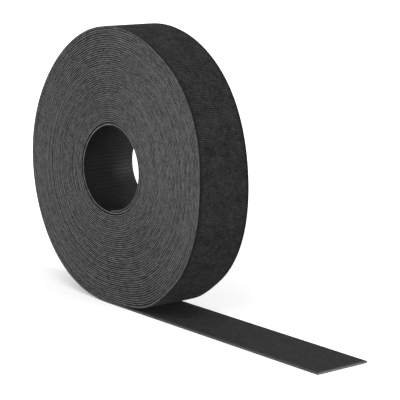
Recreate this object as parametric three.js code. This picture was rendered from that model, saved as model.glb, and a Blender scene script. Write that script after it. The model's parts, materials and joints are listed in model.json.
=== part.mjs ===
// Coreless roll of double-sided hook and loop tape.
//
// The tape is a laminate of two webs, a loop web that faces out of the roll and a hook web that faces
// the bore. It is wound from its inner end at the bottom of the bore, anticlockwise seen from the front,
// and leaves the roll at the foot as a tail that lies flat along +X.
//
// Millimetres. The origin is on the floor below the roll's axis, half way across the tape.
// +X runs along the tail, +Y across the tape, and +Z up.

import * as THREE from 'three';

// Tape
const TAPE_WIDTH = 25;
const LOOP_WEB_THICKNESS = 0.5;
const HOOK_WEB_THICKNESS = 0.4;
const WEB_CLEARANCE = 0.3;

// Winding
const BORE_RADIUS = 18;
const TURNS = 23;
const LAP_CLEARANCE = 0.46;
const STEPS_PER_TURN = 24;

// Laid stretch, measured from below the roll's axis to the cut end
const TAIL_LENGTH = 122;
const END_CLEARANCE = 0.3;
const RUNNING_CLEARANCE = 0.3;

// Finishes
const LOOP_COLOUR = 0x343434;
const HOOK_COLOUR = 0x2b2b2b;

// A web's place in the tape's thickness, counted outwards from the face that looks at the bore.
const HOOK_WEB = { inner: 0, outer: HOOK_WEB_THICKNESS };
const LOOP_WEB = {
  inner: HOOK_WEB.outer + WEB_CLEARANCE,
  outer: HOOK_WEB.outer + WEB_CLEARANCE + LOOP_WEB_THICKNESS,
};
const TAPE_THICKNESS = LOOP_WEB.outer;
const PITCH = TAPE_THICKNESS + LAP_CLEARANCE;

// Stations run along the winding from its inner end. The last step is the roll's foot: it is level on
// the floor and half a step either side of the axis.
const LAST_STATION = TURNS * STEPS_PER_TURN;
const STEP_ANGLE = (2 * Math.PI) / STEPS_PER_TURN;
const FOOT_HALF_ANGLE = STEP_ANGLE / 2;

const stationAngle = (station) => FOOT_HALF_ANGLE + (station - LAST_STATION) * STEP_ANGLE;
const stationRadius = (station) =>
  BORE_RADIUS + (PITCH * Math.min(station, LAST_STATION - 1)) / STEPS_PER_TURN;

const ROLL_RADIUS = stationRadius(LAST_STATION) + TAPE_THICKNESS;
const AXIS_HEIGHT = ROLL_RADIUS * Math.cos(FOOT_HALF_ANGLE);

// The touchdown lies between the foot and the tail, under the curve of the roll. The tail starts where the
// turning roll passes clear over it.
const TOUCHDOWN_START = ROLL_RADIUS * Math.sin(FOOT_HALF_ANGLE) + END_CLEARANCE;
const TAIL_START = Math.sqrt(
  ROLL_RADIUS ** 2 - (AXIS_HEIGHT - TAPE_THICKNESS - RUNNING_CLEARANCE) ** 2,
);
const TOUCHDOWN_END = TAIL_START - END_CLEARANCE;

// A point of the winding's side outline, about the roll's axis. Angles count from straight down.
function windingPoint(station, depth) {
  const radius = stationRadius(station) + depth;
  const angle = stationAngle(station);
  return new THREE.Vector2(radius * Math.sin(angle), -radius * Math.cos(angle));
}

function windingEdge(depth) {
  return Array.from({ length: LAST_STATION + 1 }, (_, station) => windingPoint(station, depth));
}

// Side outline of a wound web: out along its outer face and back along its inner one.
function windingOutline(web) {
  return new THREE.Shape([...windingEdge(web.outer), ...windingEdge(web.inner).reverse()]);
}

// Side outline of a web that lies flat, loop side down, between two places along the floor.
function flatOutline(web, start, end) {
  const bottom = TAPE_THICKNESS - web.outer;
  const top = TAPE_THICKNESS - web.inner;
  return new THREE.Shape([
    new THREE.Vector2(start, bottom),
    new THREE.Vector2(end, bottom),
    new THREE.Vector2(end, top),
    new THREE.Vector2(start, top),
  ]);
}

function distanceToSegment(point, start, end) {
  const along = end.clone().sub(start);
  const share = point.clone().sub(start).dot(along) / along.lengthSq();
  const nearest = start.clone().addScaledVector(along, THREE.MathUtils.clamp(share, 0, 1));
  return nearest.distanceTo(point);
}

// Least gap between a wound web and its own next lap out, from the points of its outer face to the
// nearest steps of the inner face one turn on.
function leastGapToItself(web) {
  const outerFace = windingEdge(web.outer);
  const innerFace = windingEdge(web.inner);
  let least = Infinity;
  for (let station = 0; station + STEPS_PER_TURN < LAST_STATION; station += 1) {
    const above = station + STEPS_PER_TURN;
    for (const start of [above - 1, above]) {
      const gap = distanceToSegment(outerFace[station], innerFace[start], innerFace[start + 1]);
      least = Math.min(least, gap);
    }
  }
  return least;
}

const loopFabric = new THREE.MeshStandardMaterial({ color: LOOP_COLOUR, roughness: 0.95, metalness: 0 });
const hookPlastic = new THREE.MeshStandardMaterial({ color: HOOK_COLOUR, roughness: 0.7, metalness: 0 });

// Extrudes a side outline across the tape, from the back edge to the front one.
function webMesh(name, outline, material) {
  const geometry = new THREE.ExtrudeGeometry(outline, { depth: TAPE_WIDTH, bevelEnabled: false });
  const mesh = new THREE.Mesh(geometry, material);
  mesh.name = name;
  mesh.rotation.x = Math.PI / 2;
  mesh.position.y = TAPE_WIDTH / 2;
  return mesh;
}

function woundRoll() {
  const group = new THREE.Group();
  group.position.z = AXIS_HEIGHT;
  group.add(webMesh('wound_loop_web', windingOutline(LOOP_WEB), loopFabric));
  group.add(webMesh('wound_hook_web', windingOutline(HOOK_WEB), hookPlastic));
  return group;
}

function laidStretch(name, start, end) {
  const group = new THREE.Group();
  group.add(webMesh(`${name}_loop_web`, flatOutline(LOOP_WEB, start, end), loopFabric));
  group.add(webMesh(`${name}_hook_web`, flatOutline(HOOK_WEB, start, end), hookPlastic));
  return group;
}

console.log(`wound loop web: least gap to itself ${leastGapToItself(LOOP_WEB).toFixed(2)} mm`);
console.log(`wound hook web: least gap to itself ${leastGapToItself(HOOK_WEB).toFixed(2)} mm`);

const tapeRoll = new THREE.Group();
tapeRoll.add(woundRoll());
tapeRoll.add(laidStretch('touchdown', TOUCHDOWN_START, TOUCHDOWN_END));
tapeRoll.add(laidStretch('tail', TAIL_START, TAIL_LENGTH));

export default tapeRoll;
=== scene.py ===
"""Looks of a coreless roll of double-sided hook and loop tape whose tail lies on the floor.

Every piece of the tape is shaped in tape space and then wound. In tape space x runs along the tape from
its inner end, y across it from its middle, and z through it, from the back of the hooks out to the pile.
"""

import json
import logging
import math
import random
from dataclasses import dataclass, field
from enum import Enum
from functools import cached_property

import bmesh
import bpy
from bmesh.types import BMEdge, BMesh
from bpy.types import Material, Mesh, NodeSocket, Object
from mathutils import Matrix, Vector, noise


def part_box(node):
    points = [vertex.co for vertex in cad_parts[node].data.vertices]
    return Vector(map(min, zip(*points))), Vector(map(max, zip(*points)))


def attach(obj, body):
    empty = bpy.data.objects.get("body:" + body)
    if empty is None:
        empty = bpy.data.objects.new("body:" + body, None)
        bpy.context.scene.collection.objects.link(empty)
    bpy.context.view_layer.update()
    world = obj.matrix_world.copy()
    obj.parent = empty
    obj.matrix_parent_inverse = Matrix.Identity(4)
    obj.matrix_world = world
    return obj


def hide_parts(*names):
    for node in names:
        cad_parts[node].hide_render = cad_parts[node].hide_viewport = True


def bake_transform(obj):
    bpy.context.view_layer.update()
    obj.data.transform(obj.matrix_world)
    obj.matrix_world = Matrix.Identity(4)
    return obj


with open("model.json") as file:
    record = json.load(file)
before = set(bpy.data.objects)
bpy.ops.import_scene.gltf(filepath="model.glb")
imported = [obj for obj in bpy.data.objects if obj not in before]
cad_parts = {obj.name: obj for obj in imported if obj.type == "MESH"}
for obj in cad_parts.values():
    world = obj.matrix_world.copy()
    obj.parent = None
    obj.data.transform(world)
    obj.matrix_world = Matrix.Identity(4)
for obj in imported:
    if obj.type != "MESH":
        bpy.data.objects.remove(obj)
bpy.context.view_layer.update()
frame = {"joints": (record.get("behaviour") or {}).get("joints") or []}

TAPE_PLACE = "tape_place"
MM = 0.001
# Range that most values of a noise texture lie in
NOISE_RANGE = (0.3, 0.7)
LOG = logging.getLogger("tape_roll")


class Body(Enum):
    """Bodies that the pieces move with."""

    ROLL = "roll"
    TOUCHDOWN = "touchdown"
    TAIL = "tail"


class Slot(Enum):
    """Material slots of the tape's two sides."""

    LOOP = "loop_fabric"
    HOOK = "hook_plastic"


class Hold(Enum):
    """How a web of the tape is held."""

    WOUND = "stretched"
    LAID = "laid"


class Rim(Enum):
    """The tape's two rims, as directions across it."""

    FRONT = -1
    BACK = 1


@dataclass(frozen=True)
class Tape:
    """Sizes of the tape itself, in metres.

    Depths count from the back of the hooks. The pile is pressed flat between laps and stands free on the
    outermost lap and on the tail.
    """

    width: float
    hook_web_depth: float = 0.30 * MM
    web_gap: float = 0.01 * MM
    pressed_depth: float = 0.66 * MM
    free_depth: float = 0.83 * MM
    loop_recess: float = 0.11 * MM

    @property
    def half_width(self) -> float:
        """Half of the width."""
        return self.width / 2

    @property
    def loop_half_width(self) -> float:
        """Half of the loop web's width, a little less than the hook web's."""
        return self.half_width - self.loop_recess

    @property
    def loop_web_start(self) -> float:
        """Depth at which the loop web starts."""
        return self.hook_web_depth + self.web_gap


@dataclass(frozen=True)
class OutOfRound:
    """How far a lap departs from a circle, as shares of its radius for one lobe, two lobes and so on."""

    cosines: tuple[float, ...]
    sines: tuple[float, ...]

    def at(self, angle: float) -> float:
        """Returns the departure at an angle, counted from +X upwards."""
        pairs = enumerate(zip(self.cosines, self.sines), start=1)
        return sum(cosine * math.cos(lobes * angle) + sine * math.sin(lobes * angle)
                   for lobes, (cosine, sine) in pairs)


@dataclass(frozen=True)
class TapePath:
    """The tape's way: a spiral from the bore out to the foot of the roll, then flat along the floor."""

    axis_height: float
    tail_length: float
    tape: Tape
    bore_radius: float = 17.55 * MM
    laps: int = 46
    # Wander of the laps towards the front and back, and their swelling
    sway: float = 0.16 * MM
    sway_length: float = 140 * MM
    sway_seed: tuple[float, float] = (3.7, 9.1)
    heave: float = 0.06 * MM
    heave_length: float = 22 * MM
    heave_seed: tuple[float, float] = (8.3, 1.9)
    # Slack of the innermost laps, and narrowing of the bore towards the back
    slack: float = 0.36 * MM
    slack_laps: tuple[float, float] = (0.8, 1.6)
    bore_taper: float = 0.90 * MM
    # Sag of the outer laps just past the foot
    sag: float = 1.5 * MM
    sag_angles: tuple[float, float] = (math.radians(2), math.radians(42))
    sag_growth: float = 4.0
    # Lean of the front rim, inwards at the lower right and outwards at the upper right
    rim_leans: tuple[float, float] = (0.88 * MM, 1.6 * MM)
    lean_reach: float = math.radians(60)
    # Departures from round
    bore: OutOfRound = OutOfRound((-0.0287, 0.0186, -0.0045), (-0.0391, 0.0149, -0.0154))
    outside: OutOfRound = OutOfRound((0.0064, -0.0104, -0.0038, -0.0066, -0.0049),
                                     (-0.0123, -0.0045, -0.0139, -0.0039, 0.0022))

    @cached_property
    def pitch(self) -> float:
        """Growth of the radius in one lap."""
        outermost = self.axis_height - self.tape.free_depth - self.slack
        return (outermost - self.bore_radius) / self.laps

    @cached_property
    def wound_length(self) -> float:
        """Length of tape in the roll."""
        return self.along_at(self.laps)

    @cached_property
    def outer_lap_start(self) -> float:
        """Distance along the tape at which its last lap starts."""
        return self.along_at(self.laps - 1)

    @cached_property
    def end(self) -> float:
        """Distance along the tape of the tail's cut end."""
        return self.wound_length + self.tail_length

    def along_at(self, turn: float) -> float:
        """Returns the distance along the tape after a number of turns."""
        return 2 * math.pi * (self.bore_radius * turn + self.pitch * turn * turn / 2)

    def turn_at(self, along: float) -> float:
        """Returns the number of turns after a distance along the tape."""
        root = math.sqrt(max(self.bore_radius**2 + self.pitch * along / math.pi, 0.0))
        return (root - self.bore_radius) / self.pitch

    def spiral_radius(self, turn: float, across: float) -> float:
        """Finds the radius of the winding before it goes out of round.

        The innermost laps lie slack, and the bore narrows towards the back.

        Args:
            turn: Turns from the tape's inner end.
            across: Distance from the middle of the tape, towards its back rim.

        Returns:
            The radius at the back of the hooks.
        """
        first, last = self.slack_laps
        share = min(1.0, max(0.0, (turn - first) / (last - first)))
        eased = share * share * (3 - 2 * share)
        narrowing = self.bore_taper * (0.5 + across / self.tape.width) * (1 - turn / self.laps)
        return self.bore_radius + self.pitch * turn + self.slack * eased - narrowing

    def hang(self, turn: float) -> float:
        """Returns how far a lap hangs loose just past the foot, which grows towards the outside."""
        first, last = self.sag_angles
        angle = 2 * math.pi * (turn % 1.0)
        if not first < angle < last:
            return 0.0
        shape = math.sin(math.pi * (angle - first) / (last - first)) ** 2
        return self.sag * shape * (turn / self.laps) ** self.sag_growth

    def lean(self, turn: float, across: float) -> float:
        """Finds how far the front rim stands out at the upper right, or in at the lower right.

        Args:
            turn: Turns from the tape's inner end.
            across: Distance from the middle of the tape, towards its back rim.

        Returns:
            The change of radius, which grows outwards and towards the front.
        """
        angle = 2 * math.pi * (turn % 1.0) - math.pi / 2
        if abs(angle) >= self.lean_reach:
            return 0.0
        inwards, outwards = self.rim_leans
        most = outwards if angle > 0 else inwards
        share = (0.5 - across / self.tape.width) * (turn / self.laps) ** 2
        return most * math.sin(math.pi * angle / self.lean_reach) * share

    def level(self, turn: float, across: float) -> float:
        """Finds how far out a lap lies, before it swells.

        Args:
            turn: Turns from the tape's inner end.
            across: Distance from the middle of the tape, towards its back rim.

        Returns:
            The radius at the back of its hooks.
        """
        angle = 2 * math.pi * (turn - self.laps) - math.pi / 2
        share = turn / self.laps
        departure = (1 - share) * self.bore.at(angle) + share * self.outside.at(angle)
        radius = self.spiral_radius(turn, across) * (1 + departure)
        return radius + self.hang(turn) + self.lean(turn, across)

    def room(self, along: float, across: float) -> float:
        """Finds the room under the next lap.

        Args:
            along: Distance from the tape's inner end.
            across: Distance from the middle of the tape, towards its back rim.

        Returns:
            The depth at which the next lap lies on the tape.
        """
        turn = self.turn_at(along)
        return self.level(turn + 1, across) - self.level(turn, across)

    def place(self, along: float, across: float, depth: float) -> Vector:
        """Finds where a point of the tape lies.

        Args:
            along: Distance from the tape's inner end.
            across: Distance from the middle of the tape, towards its back rim.
            depth: Distance outwards from the back of the hooks.

        Returns:
            The point in the object's frame.
        """
        laid = along - self.wound_length
        if laid >= 0:
            return Vector((laid, across, self.tape.free_depth - depth))
        turn = self.turn_at(along)
        looseness = min(1.0, self.laps - turn)
        shift = self.sway * noise.noise(Vector((along / self.sway_length, *self.sway_seed)))
        swell = self.heave * noise.noise(Vector((along / self.heave_length, *self.heave_seed)))
        angle = 2 * math.pi * (turn - self.laps)
        radius = self.level(turn, across) + depth + swell * looseness
        height = self.axis_height - radius * math.cos(angle)
        return Vector((radius * math.sin(angle), across + shift * looseness, height))

    def wind(self, shape: BMesh) -> None:
        """Moves a shape from tape space to its place, and keeps its place in the tape as an attribute.

        Args:
            shape: The shape, which is changed.
        """
        layer = shape.verts.layers.float_vector.new(TAPE_PLACE)
        for vertex in shape.verts:
            vertex[layer] = vertex.co
            vertex.co = self.place(*vertex.co)
        bmesh.ops.recalc_face_normals(shape, faces=shape.faces[:])


class Shading:
    """A new material with short calls for the nodes that the finishes share."""

    def __init__(self, name: str) -> None:
        """Starts a material of that name."""
        self.material: Material = bpy.data.materials.new(name)
        self.material.use_nodes = True
        self.nodes = self.material.node_tree.nodes
        self.links = self.material.node_tree.links
        self.shader = self.nodes["Principled BSDF"]

    def set(self, values: dict[str, float]) -> None:
        """Sets sockets of the shader that are the same all over."""
        for name, value in values.items():
            self.shader.inputs[name].default_value = value

    def feed(self, source: NodeSocket, socket: str) -> None:
        """Links a value to one of the shader's sockets."""
        self.links.new(source, self.shader.inputs[socket])

    def tape_place(self) -> NodeSocket:
        """Returns the place in tape space."""
        node = self.nodes.new("ShaderNodeAttribute")
        node.attribute_name = TAPE_PLACE
        return node.outputs["Vector"]

    def drawn_out(self, place: NodeSocket, share: float) -> NodeSocket:
        """Returns a place with its distance along the tape cut to a share, which draws patterns out."""
        node = self.nodes.new("ShaderNodeVectorMath")
        node.operation = "MULTIPLY"
        self.links.new(place, node.inputs[0])
        node.inputs[1].default_value = (share, 1.0, 1.0)
        return node.outputs["Vector"]

    def parts(self, place: NodeSocket) -> tuple[NodeSocket, NodeSocket, NodeSocket]:
        """Returns the distances along, across and through the tape."""
        node = self.nodes.new("ShaderNodeSeparateXYZ")
        self.links.new(place, node.inputs["Vector"])
        return node.outputs["X"], node.outputs["Y"], node.outputs["Z"]

    def blend(self, shares: list[tuple[NodeSocket, float]]) -> NodeSocket:
        """Returns the sum of values, each times its share."""
        total = None
        for value, share in shares:
            part = self.math("MULTIPLY", value, share)
            total = part if total is None else self.math("ADD", total, part)
        return total

    def cells(self, place: NodeSocket, size: float, detail: float = 2.0) -> NodeSocket:
        """Returns noise from 0 to 1 with cells of a size in metres."""
        node = self.nodes.new("ShaderNodeTexNoise")
        node.inputs["Scale"].default_value = 1 / size
        node.inputs["Detail"].default_value = detail
        self.links.new(place, node.inputs["Vector"])
        return node.outputs["Fac"]

    def math(self, operation: str, first: NodeSocket, second: NodeSocket | float = 0.0) -> NodeSocket:
        """Returns the result of a Math node on one or two values."""
        node = self.nodes.new("ShaderNodeMath")
        node.operation = operation
        self.links.new(first, node.inputs[0])
        if isinstance(second, NodeSocket):
            self.links.new(second, node.inputs[1])
        else:
            node.inputs[1].default_value = second
        return node.outputs[0]

    def spread(self, value: NodeSocket, source: tuple[float, float],
               target: tuple[float, float]) -> NodeSocket:
        """Returns a value carried from one range to another, and held there."""
        node = self.nodes.new("ShaderNodeMapRange")
        node.inputs["From Min"].default_value, node.inputs["From Max"].default_value = source
        node.inputs["To Min"].default_value, node.inputs["To Max"].default_value = target
        self.links.new(value, node.inputs["Value"])
        return node.outputs["Result"]

    def grey(self, tone: NodeSocket) -> NodeSocket:
        """Returns a near-neutral colour of a given tone."""
        node = self.nodes.new("ShaderNodeCombineColor")
        for channel in ("Red", "Green"):
            self.links.new(tone, node.inputs[channel])
        self.links.new(self.math("MULTIPLY", tone, 1.02), node.inputs["Blue"])
        return node.outputs["Color"]

    def roughen(self, height: NodeSocket, distance: float, strength: float) -> None:
        """Gives the shader a relief of a height in metres."""
        node = self.nodes.new("ShaderNodeBump")
        node.inputs["Distance"].default_value = distance
        node.inputs["Strength"].default_value = strength
        self.links.new(height, node.inputs["Height"])
        self.feed(node.outputs["Normal"], "Normal")


@dataclass(frozen=True)
class PileFinish:
    """Brushed loop pile: matte and mottled, with painted shade between its ribs and painted light on their
    crests, pale specks and a soft sheen.
    """

    crest: float
    name: str = "loop_pile"
    dark: float = 0.0106
    light: float = 0.0236
    tuft: float = 1.5 * MM
    patch: float = 7 * MM
    mottle_range: tuple[float, float] = (0.36, 0.64)
    rib_depth: float = 0.20 * MM
    # Painted shade in the valleys between the ribs and painted light on their crests, as shares of the
    # tone
    painted_rib_shading: tuple[float, float] = (0.30, 1.50)
    speck: float = 0.013
    speck_size: float = 0.75 * MM
    speck_range: tuple[float, float] = (0.64, 0.80)
    grain: float = 0.4 * MM

    def material(self) -> Material:
        """Returns the finish as a material."""
        shading = Shading(self.name)
        place = shading.tape_place()
        _, _, depth = shading.parts(place)
        tufts = shading.cells(place, self.tuft, 3.0)
        patches = shading.cells(place, self.patch)
        mottle = shading.blend([(tufts, 0.7), (patches, 0.3)])
        tone = shading.spread(mottle, self.mottle_range, (self.dark, self.light))
        # Painted shade: the tone is darkened in the rib valleys and lightened on the rib crests
        ribs = shading.spread(depth, (self.crest - self.rib_depth, self.crest), self.painted_rib_shading)
        flecks = shading.cells(place, self.speck_size, 0.0)
        specks = shading.spread(flecks, self.speck_range, (0.0, self.speck))
        tone = shading.math("ADD", shading.math("MULTIPLY", tone, ribs), specks)
        shading.feed(shading.grey(tone), "Base Color")
        shading.set({"Roughness": 0.95, "Sheen Weight": 0.03, "Specular IOR Level": 0.05})
        shading.roughen(shading.cells(place, self.grain), 0.05 * MM, 0.6)
        return shading.material


@dataclass(frozen=True)
class CutEdgeFinish:
    """The edge of a web, where cut yarns show as light and dark dashes along each lap.

    The hook web's edge has a painted highlight along the stretch of tape that rims the bore, and is darker
    over what comes before it.
    """

    name: str
    dark: float
    light: float
    dash: float = 0.9 * MM
    dash_share: float = 0.3
    speckle: float = 0.7 * MM
    stretch: float = 45 * MM
    yarn_range: tuple[float, float] = (0.38, 0.62)
    grain: float = 0.2 * MM
    # Stretch with a painted highlight where the edge rims the bore, and the highlight's gain
    rim_highlight: tuple[float, float] = (0.0, 0.0)
    rim_highlight_gain: float = 1.0
    inner_gain: float = 1.0
    fade: float = 5 * MM

    def material(self) -> Material:
        """Returns the finish as a material."""
        shading = Shading(self.name)
        place = shading.tape_place()
        along, _, _ = shading.parts(place)
        dashes = shading.cells(shading.drawn_out(place, self.dash_share), self.dash)
        speckles = shading.cells(place, self.speckle, 3.0)
        stretches = shading.cells(place, self.stretch)
        yarns = shading.blend([(dashes, 0.45), (speckles, 0.35), (stretches, 0.20)])
        tone = shading.spread(yarns, self.yarn_range, (self.dark, self.light))
        # Painted highlight over the stretch that rims the bore, and a darker tone before it
        first, last = self.rim_highlight
        gain = shading.spread(along, (first - self.fade, first), (self.inner_gain, self.rim_highlight_gain))
        loss = shading.spread(along, (last, last + self.fade), (1.0, 1 / self.rim_highlight_gain))
        tone = shading.math("MULTIPLY", shading.math("MULTIPLY", tone, gain), loss)
        shading.feed(shading.grey(tone), "Base Color")
        shading.set({"Roughness": 0.9, "Specular IOR Level": 0.25})
        shading.roughen(shading.cells(place, self.grain), 0.05 * MM, 0.6)
        return shading.material


@dataclass(frozen=True)
class HookFinish:
    """Moulded hook plastic: charcoal, dull, a little uneven in gloss."""

    name: str
    dark: float
    light: float
    roughness: tuple[float, float]
    specular: float
    flow: float = 3.5 * MM
    gloss_patch: float = 1.2 * MM
    grain: float = 0.3 * MM

    def material(self) -> Material:
        """Returns the finish as a material."""
        shading = Shading(self.name)
        place = shading.tape_place()
        tone = shading.spread(shading.cells(place, self.flow), NOISE_RANGE, (self.dark, self.light))
        gloss = shading.spread(shading.cells(place, self.gloss_patch), NOISE_RANGE, self.roughness)
        shading.feed(shading.grey(tone), "Base Color")
        shading.feed(gloss, "Roughness")
        shading.set({"Specular IOR Level": self.specular})
        shading.roughen(shading.cells(place, self.grain), 0.03 * MM, 0.25)
        return shading.material


@dataclass(frozen=True)
class FibreFinish:
    """Loose yarn ends, from charcoal to pale grey."""

    name: str = "loose_fibre"
    dark: float = 0.05
    light: float = 0.30
    patch: float = 1.7 * MM

    def material(self) -> Material:
        """Returns the finish as a material."""
        shading = Shading(self.name)
        patches = shading.cells(shading.tape_place(), self.patch)
        tone = shading.spread(patches, NOISE_RANGE, (self.dark, self.light))
        shading.feed(shading.grey(tone), "Base Color")
        shading.set({"Roughness": 0.7, "Sheen Weight": 0.2})
        return shading.material


def edges_along(shape: BMesh, least: float) -> list[BMEdge]:
    """Returns the edges of a shape that run along the tape for at least a given length."""
    return [edge for edge in shape.edges if abs(edge.verts[0].co.x - edge.verts[1].co.x) >= least]


def strip(start: float, end: float, half_width: float, depths: tuple[float, float],
          rounding: float, cuts_across: list[float], stations: int) -> BMesh:
    """Shapes a closed flat strip in tape space, with rounded rims.

    Args:
        start: Distance along the tape at which the strip starts.
        end: Distance along the tape at which it ends.
        half_width: Half of its width.
        depths: Depths of its inner and outer face.
        rounding: Radius of its long edges.
        cuts_across: Places across the strip at which it gets another line of points.
        stations: Number of steps along the strip.

    Returns:
        The strip, with the rims and cut ends in material 1 and the faces in material 0.
    """
    shape = bmesh.new()
    bmesh.ops.create_cube(shape, size=1.0)
    size = Vector((end - start, 2 * half_width, depths[1] - depths[0]))
    middle = Vector(((start + end) / 2, 0.0, sum(depths) / 2))
    bmesh.ops.scale(shape, vec=size, verts=shape.verts)
    bmesh.ops.translate(shape, vec=middle, verts=shape.verts)
    long_edges = edges_along(shape, size.x / 2)
    bmesh.ops.bevel(shape, geom=long_edges, offset=rounding, offset_type="OFFSET", segments=2,
                    profile=0.5, affect="EDGES", material=-1)
    for across in cuts_across:
        geometry = shape.verts[:] + shape.edges[:] + shape.faces[:]
        bmesh.ops.bisect_plane(shape, geom=geometry, plane_co=(0, across, 0), plane_no=(0, 1, 0))
    bmesh.ops.subdivide_edges(shape, edges=edges_along(shape, size.x / 2), cuts=stations - 1)
    rim = half_width - rounding
    for face in shape.faces:
        centre = face.calc_center_median()
        cut_end = centre.x in (start, end) or abs(face.normal.x) > 0.5
        face.material_index = int(cut_end or abs(centre.y) > rim)
        face.smooth = not cut_end
    return shape


def copies(shape: BMesh, places: list[Matrix]) -> BMesh:
    """Repeats a small shape at many places.

    Args:
        shape: The shape, which is used up.
        places: Where each copy goes, as a transform of the shape.

    Returns:
        All the copies.
    """
    bmesh.ops.recalc_face_normals(shape, faces=shape.faces[:])
    points = len(shape.verts)
    holder = bpy.data.objects.new("copies", bpy.data.meshes.new("copies"))
    shape.to_mesh(holder.data)
    shape.free()
    bpy.context.scene.collection.objects.link(holder)
    array = holder.modifiers.new("repeat", "ARRAY")
    array.count = len(places)
    array.use_relative_offset = False
    repeated = bmesh.new()
    repeated.from_object(holder, bpy.context.evaluated_depsgraph_get())
    bpy.data.objects.remove(holder)
    for index, vertex in enumerate(repeated.verts):
        vertex.co = places[index // points] @ vertex.co
    for face in repeated.faces:
        face.smooth = True
    return repeated


def finished(name: str, shape: BMesh, finishes: list[Material]) -> Object:
    """Makes a piece of a wound shape.

    Args:
        name: The piece's name.
        shape: The shape in the object's frame, which is used up.
        finishes: Its materials, in the order of the faces' material numbers.

    Returns:
        The piece, in the scene.
    """
    mesh: Mesh = bpy.data.meshes.new(name)
    shape.to_mesh(mesh)
    shape.free()
    for finish in finishes:
        mesh.materials.append(finish)
    piece = bpy.data.objects.new(name, mesh)
    bpy.context.scene.collection.objects.link(piece)
    LOG.info("%s: %d faces", name, len(mesh.polygons))
    return piece


@dataclass
class RibbedWeb:
    """A loop web with its pile free: knitted in ribs across the tape, and flatter at the selvedges."""

    tape: Tape
    rounding: float = 0.16 * MM
    rib_pitch: float = 0.79 * MM
    rib_height: float = 0.20 * MM
    steps_per_rib: int = 5
    selvedge: float = 1.9 * MM
    selvedge_drop: float = 0.15 * MM
    selvedge_slope: float = 0.8 * MM
    rim_line: float = 0.5 * MM
    lines_across: int = 9
    wander_sizes: tuple[float, float] = (2.3 * MM, 5.0 * MM)
    wander_seed: float = 5.3
    rib_wander: float = 0.16
    height_share: float = 0.75
    height_wander: float = 0.35
    selvedge_share: float = 0.25

    def shape(self, start: float, end: float) -> BMesh:
        """Shapes a stretch of the web in tape space.

        Args:
            start: Distance along the tape at which the stretch starts.
            end: Distance along the tape at which it ends.

        Returns:
            The stretch, closed.
        """
        half = self.tape.half_width
        inner = half - self.selvedge
        full = inner - self.selvedge_slope
        cuts = [side * place for side in (-1, 1) for place in (half - self.rim_line, inner, full)]
        spacing = 2 * full / (self.lines_across + 1)
        cuts += [spacing * (line - (self.lines_across - 1) / 2) for line in range(self.lines_across)]
        depths = (self.tape.loop_web_start, self.tape.free_depth)
        stations = round((end - start) / self.rib_pitch) * self.steps_per_rib
        web = strip(start, end, half, depths, self.rounding, cuts, stations)
        for vertex in web.verts:
            if vertex.co.z > self.tape.free_depth - self.rounding / 10:
                vertex.co.z -= self.hollow(vertex.co.x, vertex.co.y)
        return web

    def hollow(self, along: float, across: float) -> float:
        """Returns how far the pile lies below its highest, at a place on the tape."""
        edge = (self.tape.half_width - abs(across)) / self.selvedge
        fullness = min(1.0, max(0.0, 2 * edge - 1.0))
        size_along, size_across = self.wander_sizes
        unevenness = noise.noise(Vector((along / size_along, across / size_across, self.wander_seed)))
        phase = along / self.rib_pitch + self.rib_wander * unevenness
        rib = 0.5 - 0.5 * math.cos(2 * math.pi * phase)
        height = self.rib_height * (self.height_share + self.height_wander * unevenness)
        height *= self.selvedge_share + (1 - self.selvedge_share) * fullness
        return height * rib + self.selvedge_drop * (1.0 - fullness)


@dataclass
class HookRows:
    """Moulded hooks in close rows, each row facing the other way from the one before it."""

    tape: Tape
    height: float = 0.28 * MM
    root: float = 0.03 * MM
    stem_radius: float = 0.085 * MM
    crook_radius: float = 0.11 * MM
    crook_angle: float = math.radians(150)
    row_pitch: float = 0.78 * MM
    hook_pitch: float = 0.54 * MM
    margin: float = 0.45 * MM

    def hook(self) -> BMesh:
        """Returns one hook in tape space, standing inwards from the back of the web."""
        shape = bmesh.new()
        bmesh.ops.create_circle(shape, cap_ends=True, radius=self.stem_radius, segments=3)
        bmesh.ops.translate(shape, vec=(0, 0, self.root), verts=shape.verts)
        stem = bmesh.ops.extrude_face_region(shape, geom=shape.faces[:])["geom"]
        tip = [part for part in stem if isinstance(part, bmesh.types.BMVert)]
        straight = self.height - self.crook_radius - self.stem_radius
        bmesh.ops.translate(shape, vec=(0, 0, -straight - self.root), verts=tip)
        bmesh.ops.spin(shape, geom=stem, cent=(self.crook_radius, 0, -straight), axis=(0, 1, 0),
                       dvec=(0, 0, 0), angle=-self.crook_angle, steps=3, use_merge=False)
        return shape

    def shape(self, start: float, end: float) -> BMesh:
        """Shapes the rows of a stretch of the tape in tape space.

        Args:
            start: Distance along the tape at which the stretch starts.
            end: Distance along the tape at which it ends.

        Returns:
            The stretch's hooks.
        """
        half = self.tape.half_width - self.margin
        rows = int((end - start) / self.row_pitch)
        columns = int(2 * half / self.hook_pitch)
        first = -self.hook_pitch * (columns - 1) / 2
        places = []
        for row in range(rows):
            facing = Matrix.Rotation(math.pi * (row % 2), 4, "Z")
            offset = self.hook_pitch * (0.25 if row % 2 else -0.25)
            along = start + self.row_pitch * (row + 0.5)
            for column in range(columns):
                across = first + self.hook_pitch * column + offset
                places.append(Matrix.Translation((along, across, 0.0)) @ facing)
        return copies(self.hook(), places)


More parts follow.
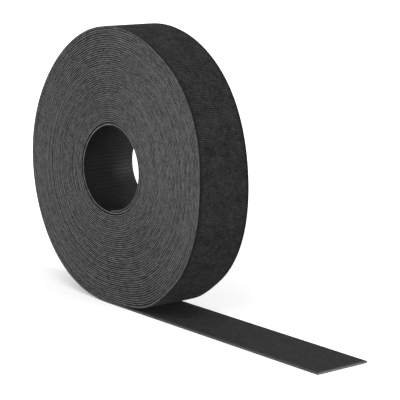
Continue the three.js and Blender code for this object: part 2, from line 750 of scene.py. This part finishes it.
@dataclass
class PileLoops:
    """Loops of pile that stand above the ribs of the free loop side."""

    tape: Tape
    rib_pitch: float
    count: int = 5000
    reach: float = 0.20 * MM
    rise: float = 0.6
    yarn: float = 0.022 * MM
    sunk: float = 0.12 * MM
    scatter: float = 0.14
    sizes: tuple[float, float] = (0.6, 1.15)
    margin: float = 0.6 * MM
    seed: int = 11

    def loop(self) -> BMesh:
        """Returns one loop in tape space, as a low arch over the origin."""
        shape = bmesh.new()
        bmesh.ops.create_circle(shape, cap_ends=True, radius=self.yarn, segments=3)
        bmesh.ops.translate(shape, vec=(-self.reach, 0, 0), verts=shape.verts)
        bmesh.ops.spin(shape, geom=shape.verts[:] + shape.edges[:] + shape.faces[:], cent=(0, 0, 0),
                       axis=(0, 1, 0), dvec=(0, 0, 0), angle=math.pi, steps=4, use_merge=False)
        return shape

    def shape(self, start: float, end: float) -> BMesh:
        """Shapes the loops of a stretch of the tape in tape space.

        Args:
            start: Distance along the tape at which the stretch starts.
            end: Distance along the tape at which it ends.

        Returns:
            The stretch's loops.
        """
        draw = random.Random(self.seed)
        half = self.tape.half_width - self.margin
        places = []
        for _ in range(self.count):
            rib = round(draw.uniform(start, end) / self.rib_pitch)
            along = (rib + draw.gauss(0.0, self.scatter)) * self.rib_pitch
            across = draw.uniform(-half, half)
            turned = Matrix.Rotation(draw.uniform(0.0, math.tau), 4, "Z")
            size = draw.uniform(*self.sizes)
            scaled = Matrix.Diagonal((size, size, size * self.rise, 1.0))
            base = Matrix.Translation((along, across, self.tape.free_depth - self.sunk))
            places.append(base @ turned @ scaled)
        return copies(self.loop(), places)


@dataclass
class RimFibres:
    """Yarn ends that stand out of the loop web along both rims."""

    tape: Tape
    count: int = 16000
    lengths: tuple[float, float] = (0.20 * MM, 0.75 * MM)
    thickness: float = 0.032 * MM
    tip: float = 0.3
    sunk: float = 0.05
    lean: float = 0.9
    rise: float = 0.4
    seed: int = 23

    def fibre(self) -> BMesh:
        """Returns one fibre of length 1 and radius 1, which runs along z from just below the origin."""
        shape = bmesh.new()
        bmesh.ops.create_cone(shape, cap_ends=True, segments=3, radius1=1.0, radius2=self.tip, depth=1.0)
        bmesh.ops.translate(shape, vec=(0, 0, 0.5 - self.sunk), verts=shape.verts)
        return shape

    def shape(self, start: float, end: float, outer: float) -> BMesh:
        """Shapes the fibres of a stretch of the tape in tape space.

        Args:
            start: Distance along the tape at which the stretch starts.
            end: Distance along the tape at which it ends.
            outer: Depth of the loop web's outer face.

        Returns:
            The stretch's fibres.
        """
        draw = random.Random(self.seed)
        places = []
        for _ in range(self.count):
            rim = draw.choice((Rim.FRONT, Rim.BACK))
            depth = draw.uniform(self.tape.loop_web_start, outer)
            base = Vector((draw.uniform(start, end), rim.value * self.tape.loop_half_width, depth))
            way = Vector((draw.uniform(-1, 1) * self.lean, rim.value, draw.uniform(-self.rise, self.rise)))
            turned = way.to_track_quat("Z", "Y").to_matrix().to_4x4()
            scaled = Matrix.Diagonal((self.thickness, self.thickness, draw.uniform(*self.lengths), 1.0))
            places.append(Matrix.Translation(base) @ turned @ scaled)
        return copies(self.fibre(), places)


@dataclass
class Finishes:
    """The materials of the tape, each made once."""

    path: TapePath
    # Turns over which the hook web's edge gets a painted highlight at the bore's rim
    rim_highlight_turns: tuple[float, float] = (0.35, 1.0)
    pile: Material = field(init=False)
    loop_edge: Material = field(init=False)
    outer_edge: Material = field(init=False)
    # Hook plastic darkened as painted shade, for the winding and the bore
    shaded_hook: Material = field(init=False)
    laid_hook: Material = field(init=False)
    hook_edge: Material = field(init=False)
    laid_edge: Material = field(init=False)
    fibre: Material = field(init=False)

    def __post_init__(self) -> None:
        """Makes the materials."""
        first, last = self.rim_highlight_turns
        rim_highlight = (self.path.along_at(first), self.path.along_at(last))
        self.pile = PileFinish(self.path.tape.free_depth).material()
        self.loop_edge = CutEdgeFinish("loop_web_edge", 0.028, 0.109).material()
        self.outer_edge = CutEdgeFinish("outer_lap_edge", 0.045, 0.105).material()
        # Painted shade: the hook plastic in the winding and bore is several times darker than the same
        # plastic on the tail, standing for the bore's shade
        self.shaded_hook = HookFinish("hook_plastic_in_painted_shade", 0.006, 0.010, (0.42, 0.55), 0.22).material()
        self.laid_hook = HookFinish("laid_hook_plastic", 0.025, 0.035, (0.70, 0.90), 0.2).material()
        # Painted highlight on the hook web's edge where it rims the bore
        self.hook_edge = CutEdgeFinish("hook_web_edge", 0.082, 0.262, rim_highlight=rim_highlight, rim_highlight_gain=1.25,
                                       inner_gain=0.6).material()
        self.laid_edge = CutEdgeFinish("laid_web_edge", 0.085, 0.145).material()
        self.fibre = FibreFinish().material()


@dataclass
class WebStretch:
    """One stretch of a web, from one distance along the tape to another."""

    path: TapePath
    piece: Object
    start: float
    end: float

    def declare(self) -> None:
        """Works out the stretch's flat size, and does nothing more with it.
        """
        flat = (self.path.tape.width, self.end - self.start)


@dataclass
class WoundRoll:
    """The winding: both webs from the bore to the foot, its outermost lap, and what stands on them."""

    path: TapePath
    finishes: Finishes
    station: float = 2.2 * MM
    loop_rounding: float = 0.12 * MM
    hook_rounding: float = 0.09 * MM
    support: float = 0.5 * MM
    contact: float = 1.4 * MM
    engaged: float = 0.08 * MM
    foot_clearance: float = 6.0 * MM
    bore_hook_margins: tuple[float, float] = (0.3 * MM, 0.8 * MM)

    @cached_property
    def ribbed(self) -> RibbedWeb:
        """The loop web of the outermost lap."""
        return RibbedWeb(self.path.tape)

    def loop_side(self) -> Object:
        """Returns the loop web of all laps but the outermost.

        Its pile is pressed flat along the rims, and reaches in among the next lap's hooks between them.
        """
        tape = self.path.tape
        end = self.path.outer_lap_start
        half = tape.loop_half_width
        inner = half - self.contact
        shape = strip(0.0, end, half, (tape.loop_web_start, tape.pressed_depth), self.loop_rounding,
                      [-inner, inner], round(end / self.station))
        for vertex in shape.verts:
            along, across, depth = vertex.co
            pressed = abs(across) >= inner + self.loop_rounding
            if not pressed and depth > tape.loop_web_start + self.engaged:
                vertex.co.z = self.path.room(along, across) + self.engaged
        self.path.wind(shape)
        return finished("winding_loop_side", shape, [self.finishes.pile, self.finishes.loop_edge])

    def hook_side(self) -> Object:
        """Returns the hook web of all laps."""
        tape = self.path.tape
        end = self.path.wound_length
        inner = tape.half_width - self.support
        shape = strip(0.0, end, tape.half_width, (0.0, tape.hook_web_depth), self.hook_rounding,
                      [-inner, inner], round(end / self.station))
        self.path.wind(shape)
        return finished("winding_hook_side", shape, [self.finishes.shaded_hook, self.finishes.hook_edge])

    def outer_lap(self) -> Object:
        """Returns the loop web of the outermost lap, ribbed."""
        shape = self.ribbed.shape(self.path.outer_lap_start, self.path.wound_length)
        self.path.wind(shape)
        return finished("outer_lap_loop_side", shape, [self.finishes.pile, self.finishes.outer_edge])

    def outer_pile(self) -> Object:
        """Returns the loops of pile on the outermost lap, clear of the floor."""
        start = self.path.outer_lap_start + self.foot_clearance
        pile = PileLoops(self.path.tape, self.ribbed.rib_pitch)
        shape = pile.shape(start, self.path.wound_length - self.foot_clearance)
        self.path.wind(shape)
        return finished("outer_lap_pile", shape, [self.finishes.pile])

    def rim_fibres(self) -> Object:
        """Returns the yarn ends along the rims of the winding."""
        end = self.path.wound_length - self.foot_clearance
        shape = RimFibres(self.path.tape).shape(0.0, end, self.path.tape.pressed_depth)
        self.path.wind(shape)
        return finished("rim_fibres", shape, [self.finishes.fibre])

    def bore_hooks(self) -> Object:
        """Returns the hooks of the innermost lap, which face the bore."""
        first, last = self.bore_hook_margins
        shape = HookRows(self.path.tape).shape(first, self.path.along_at(1.0) - last)
        self.path.wind(shape)
        return finished("bore_hooks", shape, [self.finishes.shaded_hook])

    def build(self) -> None:
        """Makes the roll's pieces and puts them on its body."""
        loop_side = self.loop_side()
        hook_side = self.hook_side()
        outer_lap = self.outer_lap()
        outer_pile = self.outer_pile()
        rim_fibres = self.rim_fibres()
        bore_hooks = self.bore_hooks()
        for piece in (loop_side, outer_lap, outer_pile, rim_fibres):
            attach(piece, Body.ROLL.value)
        for piece in (hook_side, bore_hooks):
            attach(piece, Body.ROLL.value)
        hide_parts("wound_loop_web")
        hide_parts("wound_loop_web")
        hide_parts("wound_hook_web")
        lap_start = self.path.outer_lap_start
        wound = self.path.wound_length
        loop_stretch = WebStretch(self.path, loop_side, 0.0, lap_start)
        loop_stretch.declare()
        outer_stretch = WebStretch(self.path, outer_lap, lap_start, wound)
        outer_stretch.declare()
        hook_stretch = WebStretch(self.path, hook_side, 0.0, wound)
        hook_stretch.declare()


@dataclass
class LaidTail:
    """The tail: both webs flat on the floor from the foot of the roll to the cut end."""

    path: TapePath
    finishes: Finishes
    station: float = 1.0 * MM
    rounding: float = 0.09 * MM
    support: float = 0.5 * MM
    hooks_start: float = 12.5 * MM
    cut_margin: float = 0.4 * MM
    bend_start: float = 14.0 * MM
    bend_end: float = 116.0 * MM
    fibres: int = 260

    def loop_side(self) -> Object:
        """Returns the tail's loop web, pile down."""
        shape = RibbedWeb(self.path.tape).shape(self.path.wound_length, self.path.end)
        self.path.wind(shape)
        return finished("tail_loop_side", shape, [self.finishes.pile, self.finishes.laid_edge])

    def hook_side(self) -> Object:
        """Returns the tail's hook web."""
        tape = self.path.tape
        half = tape.half_width
        cuts = [self.support - half, half - self.support]
        stations = round(self.path.tail_length / self.station)
        shape = strip(self.path.wound_length, self.path.end, half, (0.0, tape.hook_web_depth),
                      self.rounding, cuts, stations)
        self.path.wind(shape)
        return finished("tail_hook_side", shape, [self.finishes.laid_hook, self.finishes.laid_edge])

    def hooks(self) -> Object:
        """Returns the hooks on the tail's top, from where it comes clear of the roll."""
        start = self.path.wound_length + self.hooks_start
        shape = HookRows(self.path.tape).shape(start, self.path.end - self.cut_margin)
        self.path.wind(shape)
        return finished("tail_hooks", shape, [self.finishes.laid_hook])

    def rim_fibres(self) -> Object:
        """Returns the yarn ends along the tail's rims."""
        rims = RimFibres(self.path.tape, count=self.fibres)
        shape = rims.shape(self.path.wound_length, self.path.end, self.path.tape.pressed_depth)
        self.path.wind(shape)
        return finished("tail_fibres", shape, [self.finishes.fibre])

    def build(self) -> None:
        """Makes the tail's pieces, which run from the touchdown to the cut end."""
        loop_side = self.loop_side()
        hook_side = self.hook_side()
        hooks = self.hooks()
        fibres = self.rim_fibres()
        for piece in (loop_side, hook_side, hooks, fibres):
            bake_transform(piece)
        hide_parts("touchdown_loop_web", "tail_loop_web")
        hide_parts("touchdown_hook_web", "tail_hook_web")
        laid = self.path.wound_length
        loop_stretch = WebStretch(self.path, loop_side, laid, self.path.end)
        loop_stretch.declare()
        hook_stretch = WebStretch(self.path, hook_side, laid, self.path.end)
        hook_stretch.declare()


@dataclass
class Studio:
    """A pale floor in soft light, white where the camera sees it unshaded.

    The floor has one tone as it is seen and another for the light that it throws back on the object.
    """

    floor_size: float = 8.0
    floor_tone: float = 0.97
    floor_glow: tuple[float, float] = (0.40, 1.0)
    glow_reach: tuple[float, float] = (0.10, 0.30)
    bounce_tone: float = 0.85
    ambient: float = 0.50
    key_power: float = 1.0
    key_size: float = 0.25
    key_place: Vector = field(default_factory=lambda: Vector((0.17, -0.26, 0.46)))
    key_aim: Vector = field(default_factory=lambda: Vector((0.0, 0.0, 0.06)))
    fill_strength: float = 2.2
    fill_spread: float = math.radians(14)
    fill_way: Vector = field(default_factory=lambda: Vector((0.94, 0.20, 0.27)))

    @staticmethod
    def seen_directly(nodes: bpy.types.Nodes, links: bpy.types.NodeLinks) -> NodeSocket:
        """Returns 1 for what the camera sees, straight or by reflection, and 0 for other light."""
        path = nodes.new("ShaderNodeLightPath")
        seen = path.outputs["Is Camera Ray"]
        for ray in ("Is Glossy Ray", "Is Transmission Ray"):
            either = nodes.new("ShaderNodeMath")
            either.operation = "MAXIMUM"
            links.new(seen, either.inputs[0])
            links.new(path.outputs[ray], either.inputs[1])
            seen = either.outputs[0]
        return seen

    def glow_strength(self, nodes: bpy.types.Nodes, links: bpy.types.NodeLinks) -> NodeSocket:
        """Returns the strength of the floor's glow, which grows away from the object."""
        coordinates = nodes.new("ShaderNodeTexCoord")
        distance = nodes.new("ShaderNodeVectorMath")
        distance.operation = "LENGTH"
        links.new(coordinates.outputs["Object"], distance.inputs[0])
        share = nodes.new("ShaderNodeMapRange")
        share.inputs["From Min"].default_value, share.inputs["From Max"].default_value = self.glow_reach
        share.inputs["To Min"].default_value, share.inputs["To Max"].default_value = self.floor_glow
        links.new(distance.outputs["Value"], share.inputs["Value"])
        return share.outputs["Result"]

    def floor_finish(self) -> Material:
        """Returns the floor's material: pale paint, with a glow that whitens it away from the object."""
        material = bpy.data.materials.new("pale_floor")
        material.use_nodes = True
        nodes, links = material.node_tree.nodes, material.node_tree.links
        nodes.remove(nodes["Principled BSDF"])
        paints = []
        for tone in (self.floor_tone, self.bounce_tone):
            paint = nodes.new("ShaderNodeBsdfDiffuse")
            paint.inputs["Color"].default_value = (tone, tone, tone, 1.0)
            paints.append(paint)
        glow = nodes.new("ShaderNodeEmission")
        links.new(self.glow_strength(nodes, links), glow.inputs["Strength"])
        shown = nodes.new("ShaderNodeAddShader")
        links.new(paints[0].outputs[0], shown.inputs[0])
        links.new(glow.outputs[0], shown.inputs[1])
        mix = nodes.new("ShaderNodeMixShader")
        links.new(self.seen_directly(nodes, links), mix.inputs["Fac"])
        links.new(paints[1].outputs[0], mix.inputs[1])
        links.new(shown.outputs[0], mix.inputs[2])
        links.new(mix.outputs[0], nodes["Material Output"].inputs["Surface"])
        return material

    def floor(self) -> None:
        """Lays the floor."""
        shape = bmesh.new()
        bmesh.ops.create_grid(shape, x_segments=1, y_segments=1, size=self.floor_size / 2)
        finished("floor", shape, [self.floor_finish()])

    def world(self) -> None:
        """Sets the soft light from all round, behind a white background."""
        world = bpy.data.worlds.new("studio")
        world.use_nodes = True
        bpy.context.scene.world = world
        nodes, links = world.node_tree.nodes, world.node_tree.links
        around = nodes["Background"]
        around.inputs["Color"].default_value = (1.0, 1.0, 1.0, 1.0)
        around.inputs["Strength"].default_value = self.ambient
        behind = nodes.new("ShaderNodeBackground")
        behind.inputs["Color"].default_value = (1.0, 1.0, 1.0, 1.0)
        mix = nodes.new("ShaderNodeMixShader")
        links.new(self.seen_directly(nodes, links), mix.inputs["Fac"])
        links.new(around.outputs[0], mix.inputs[1])
        links.new(behind.outputs[0], mix.inputs[2])
        links.new(mix.outputs[0], nodes["World Output"].inputs["Surface"])

    def key(self) -> None:
        """Hangs the soft key light, above and in front of the roll."""
        data = bpy.data.lights.new("key", "AREA")
        data.energy = self.key_power
        data.size = self.key_size
        lamp = bpy.data.objects.new("key", data)
        lamp.location = self.key_place
        lamp.rotation_euler = (self.key_place - self.key_aim).to_track_quat("Z", "Y").to_euler()
        bpy.context.scene.collection.objects.link(lamp)

    def fill(self) -> None:
        """Sets the low fill light, which reaches in under the curve of the roll."""
        data = bpy.data.lights.new("fill", "SUN")
        data.energy = self.fill_strength
        data.angle = self.fill_spread
        lamp = bpy.data.objects.new("fill", data)
        lamp.rotation_euler = self.fill_way.to_track_quat("Z", "Y").to_euler()
        bpy.context.scene.collection.objects.link(lamp)

    def build(self) -> None:
        """Makes the floor and the light."""
        self.floor()
        self.world()
        self.key()
        self.fill()
        bpy.context.scene.view_settings.view_transform = "Standard"


@dataclass(frozen=True)
class PhotographView:
    """The camera that took the photograph, as angles and distance from the point that it looks at."""

    azimuth: float = math.radians(49.615)
    elevation: float = math.radians(11.361)
    tilt: float = math.radians(1.098)
    roll_radius: float = 56.82 * MM
    distance: float = 11.653
    lens: float = 152.56
    target: tuple[float, float, float] = (0.7163, 0.0, 0.8571)

    def build(self) -> None:
        """Makes the camera. Its distance and target are in radii of the roll."""
        level = math.cos(self.elevation)
        sideways, forwards = math.sin(self.azimuth), -math.cos(self.azimuth)
        back = Vector((sideways * level, forwards * level, math.sin(self.elevation)))
        right = Vector((-forwards, sideways, 0.0))
        up = back.cross(right)
        across = right * math.cos(self.tilt) + up * math.sin(self.tilt)
        upright = up * math.cos(self.tilt) - right * math.sin(self.tilt)
        data = bpy.data.cameras.new("photograph_view")
        data.lens = self.lens
        camera = bpy.data.objects.new("photograph_view", data)
        turned = Matrix((across, upright, back)).transposed().to_4x4()
        place = (Vector(self.target) + back * self.distance) * self.roll_radius
        camera.matrix_world = Matrix.Translation(place) @ turned
        bpy.context.scene.collection.objects.link(camera)
        bpy.context.scene.camera = camera


def tape_path() -> TapePath:
    """Returns the tape's way, with the sizes that the frame gives."""
    joint = next(joint for joint in frame["joints"] if joint["name"] == "roll_turn")
    low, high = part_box("tail_loop_web")
    return TapePath(axis_height=joint["pos_m"][2], tail_length=high.x, tape=Tape(width=high.y - low.y))


def main() -> None:
    """Builds the camera, the studio and the tape."""
    logging.basicConfig(level=logging.INFO, format="%(message)s")
    PhotographView().build()
    Studio().build()
    path = tape_path()
    finishes = Finishes(path)
    WoundRoll(path, finishes).build()
    LaidTail(path, finishes).build()


if __name__ == "__main__":
    main()
